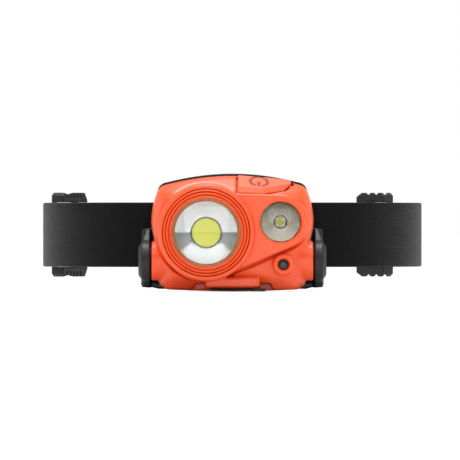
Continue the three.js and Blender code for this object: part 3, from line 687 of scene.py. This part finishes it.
def fold_points():
    """From behind the strap bar, round its inboard side and out in front of it."""
    x, front, back = STRAP_BAR["inboard"] - LAYER_GAP, LOOP["front"], FOLD_BACK
    mid, r = (front + back) / 2, (back - front) / 2
    turn = [(x + 0.9 - r * 0.62 * math.sin(a), mid + r * math.cos(a)) for a in np.linspace(0, math.pi, 13)]
    return [(36, back), (33, back)] + turn + [(33, front)]


def front_run(inward):
    """The tail's start: from behind the bar to where it lies against the outer layer."""
    y = LOOP["front"] + inward
    return [(36, FOLD_BACK), (40, FOLD_BACK - 0.2), (44, y + 2.9), (48, y + 3.0)]


def add_band():
    half = fold_points() + layer(0, -89, 90, 90)
    other = [(-x, y) for x, y in reversed(half[:-1])]
    loop = add_strip("band_loop", half + other, BAND_THICK)
    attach(loop, "yoke_and_band")
    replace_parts(loop, "headband")
    for side, spec in ADJUSTERS.items():
        add_tail(side, spec)
        add_adjuster(side, spec)


def add_tail(side, spec):
    """The inner layer: from the strap bar to the adjuster, round its centre bar and back along itself."""
    inward = BAND_THICK + LAYER_GAP
    angle = spec["angle"]
    hold = math.degrees(6.0 / LOOP["radius"])
    run = layer(inward, -66, angle - hold, 70)
    start = front_run(inward)
    lead = [(x, y) for x, y in run if x > 50 or y > 60]
    points = start + lead
    seat = LOOP["radius"] - inward
    # How far inside its seat the tail lies, and at how many degrees from the adjuster's middle.
    wrap = [(0.25, -4), (0.1, -2.4), (0.05, 0.2), (0.5, 1.6), (1.8, 2.2), (3.2, 1.7), (3.8, 0), (3.6, -1.8),
            (2.5, -3.6), (1.75, -5.4), (1.7, -8), (1.7, -16)]
    points = smooth(points + [on_loop(seat - inside, angle + turn) for inside, turn in wrap])
    obj = add_strip(f"band_tail_{side}", points, TAIL_THICK, spec["sign"])
    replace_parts(obj, f"band_end_{side}")
    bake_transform(obj)


def smooth(points, per=4):
    """Catmull-Rom points through a list of plan points."""
    pts = np.array(points, float)
    ends = np.vstack([2 * pts[0] - pts[1], pts, 2 * pts[-1] - pts[-2]])
    out = []
    for i in range(1, len(ends) - 2):
        a, b, c, d = ends[i - 1], ends[i], ends[i + 1], ends[i + 2]
        for t in np.arange(per) / per:
            bend, twist = 2 * a - 5 * b + 4 * c - d, 3 * b - a - 3 * c + d
            out.append(0.5 * (2 * b + (c - a) * t + bend * t**2 + twist * t**3))
    return out + [pts[-1]]


def adjuster_field(spec):
    """The adjuster in its own frame: u along the loop towards the back, w out of the head, z up."""
    end, half, window = spec["half"], 19.9, 15.3
    angle = math.radians(spec["angle"])
    across, up = spec["chamfer"]

    def field(q):
        u, w, z = q[:, 0], q[:, 1], np.abs(q[:, 2])
        plan = [(-end, -1), (-end, half - 1.4), (-end + 1.9, half), (end - across, half), (end, half - up),
                (end, -1)]
        body = prism(outline(u, z, plan), w, -4.0, 2.5, 0.5)
        sideways = w * math.cos(angle) - u * math.sin(angle)
        for at in spec["notches"]:
            notch = (np.abs(sideways - at) * spec["slope"] - (z - (half - spec["depth"]))) * 0.7
            body = smax(body, -notch, 0.3)
        mirrored = np.stack([u, w, z], 1)
        for at in spec["ridges"]:
            body = smax(body, -box(mirrored, (at - 0.8, -6, 17.0), (at + 0.8, -3.3, 22), 0.3), 0.3)
        body = smax(body, -box(mirrored, (-end + 3, -9, -20), (end - 3, 9, window), 0.3), 0.2)
        body = smax(body, -box(mirrored, (-40, -9, -20), (40, 0.95, window), 0.2), 0.2)
        return smin(body, box(mirrored, (-1.8, -4.0, -17.5), (1.8, -2.4, 17.5), 0.5), 0.3)

    return field


def add_adjuster(side, spec):
    field = adjuster_field(spec)
    end = spec["half"] + 0.8
    verts, faces = surface(field, (-end, -5, -20.8), (end, 3.4, 20.8), 0.36)
    angle = math.radians(spec["angle"])
    x, y = on_loop(LOOP["radius"], spec["angle"])
    back = np.array([-math.sin(angle), math.cos(angle)])
    out = np.array([math.cos(angle), math.sin(angle)])
    placed = np.stack([x + verts[:, 0] * back[0] + verts[:, 1] * out[0],
                       y + verts[:, 0] * back[1] + verts[:, 1] * out[1], verts[:, 2]], 1)
    placed[:, 0] *= spec["sign"]
    faces = faces if spec["sign"] < 0 else faces[:, ::-1]
    obj = add_mesh(f"slider_{side}", placed, faces, BLACK, f"adjuster_{side}")
    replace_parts(obj, f"adjuster_{side}")


# ---------------------------------------------------------------- kept CAD pieces
def dress_kept_nodes():
    looks = [
        (BLACK, ["pivot_pin_left", "pivot_pin_right"]),
        (RUBBER, ["shell_seal", "friction_washer_left", "friction_washer_right"]),
        (ALUMINIUM, ["flood_led_board", "spot_led_board", "heat_sink"]),
        (BOARD, ["main_board", "sensor_module"]),
        (FOIL, ["battery_pack"]),
        (STEEL, ["charge_socket", "tact_switch"] + [f"shell_screw_{i}" for i in range(1, 5)]),
    ]
    for material, names in looks:
        for name in names:
            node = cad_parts[name]
            node.data.materials.clear()
            node.data.materials.append(material)


# ---------------------------------------------------------------- stage
def add_area(name, location, target, size, power):
    data = bpy.data.lights.new(name, "AREA")
    data.shape = "RECTANGLE"
    data.size, data.size_y = size
    data.energy = power
    light = bpy.data.objects.new(name, data)
    light.location = location
    light.rotation_euler = (Vector(target) - Vector(location)).to_track_quat("-Z", "Y").to_euler()
    bpy.context.scene.collection.objects.link(light)


def add_world():
    """Even studio surroundings, darker in front of the lamp and bright behind it."""
    world = bpy.data.worlds.new("studio")
    bpy.context.scene.world = world
    world.use_nodes = True
    tree = world.node_tree
    direction = tree.nodes.new("ShaderNodeTexCoord").outputs["Generated"]
    axes = tree.nodes.new("ShaderNodeSeparateXYZ")
    tree.links.new(direction, axes.inputs[0])
    ramp = tree.nodes.new("ShaderNodeValToRGB")
    stops = [(0.0, 0.34), (0.5, 0.36), (0.8, 0.7), (0.97, 1.0)]
    for i, (at, level) in enumerate(stops):
        stop = ramp.color_ramp.elements[i] if i < 2 else ramp.color_ramp.elements.new(at)
        stop.position = at
        stop.color = (level, level, level, 1)
    spread = tree.nodes.new("ShaderNodeMapRange")
    spread.inputs["From Min"].default_value = -1
    tree.links.new(axes.outputs["Y"], spread.inputs["Value"])
    tree.links.new(spread.outputs["Result"], ramp.inputs["Fac"])
    tree.links.new(ramp.outputs["Color"], tree.nodes["Background"].inputs["Color"])


def add_floor():
    corners = [(-FLOOR_HALF, -FLOOR_HALF), (FLOOR_HALF, -FLOOR_HALF), (FLOOR_HALF, FLOOR_HALF),
               (-FLOOR_HALF, FLOOR_HALF)]
    data = bpy.data.meshes.new("floor")
    data.from_pydata([(x, y, -0.0002) for x, y in corners], [], [(0, 1, 2, 3)])
    floor = bpy.data.objects.new("floor", data)
    look = Look("floor", (0.88, 0.88, 0.88, 1), 0.9, Specular_IOR_Level=0.0)
    data.materials.append(look.material)
    bpy.context.scene.collection.objects.link(floor)


def add_studio_lights():
    lamp = (0, -0.09, 0.03)
    add_area("top_box", (0.0, -0.54, 0.83), lamp, (2.0, 0.6), 8.0)
    add_area("left_strip", (-0.9, 0.0, 0.2), lamp, (0.25, 0.7), 1.5)
    add_area("right_strip", (0.9, 0.0, 0.2), lamp, (0.25, 0.7), 1.5)
    # A card behind the camera, just above its line, that shows in the upper half of the domed lenses.
    add_area("front_card", (0.0, -7.0, 0.6), (0, -0.1, 0.6), (1.9, 1.1), 34.0)
    data = bpy.data.lights.new("overhead", "SUN")
    data.energy = 2.2
    data.angle = math.radians(25)
    sun = bpy.data.objects.new("overhead", data)
    sun.rotation_euler = (math.radians(-9), 0, 0)
    bpy.context.scene.collection.objects.link(sun)


def add_camera():
    data = bpy.data.cameras.new("camera")
    data.sensor_width = 36
    data.lens = data.sensor_width * CAMERA["distance"] / CAMERA["span"]
    data.clip_end = 100
    camera = bpy.data.objects.new("camera", data)
    aim = (np.array(CAMERA["aim"]) + SHIFT) / 1000
    camera.location = (aim[0], aim[1] - CAMERA["distance"], aim[2])
    camera.rotation_euler = (math.pi / 2, 0, 0)
    bpy.context.scene.collection.objects.link(camera)
    bpy.context.scene.camera = camera
    bpy.context.scene.view_settings.view_transform = "Standard"


add_shells()
add_lights()
add_yoke()
add_band()
dress_kept_nodes()
add_world()
add_floor()
add_studio_lights()
add_camera()
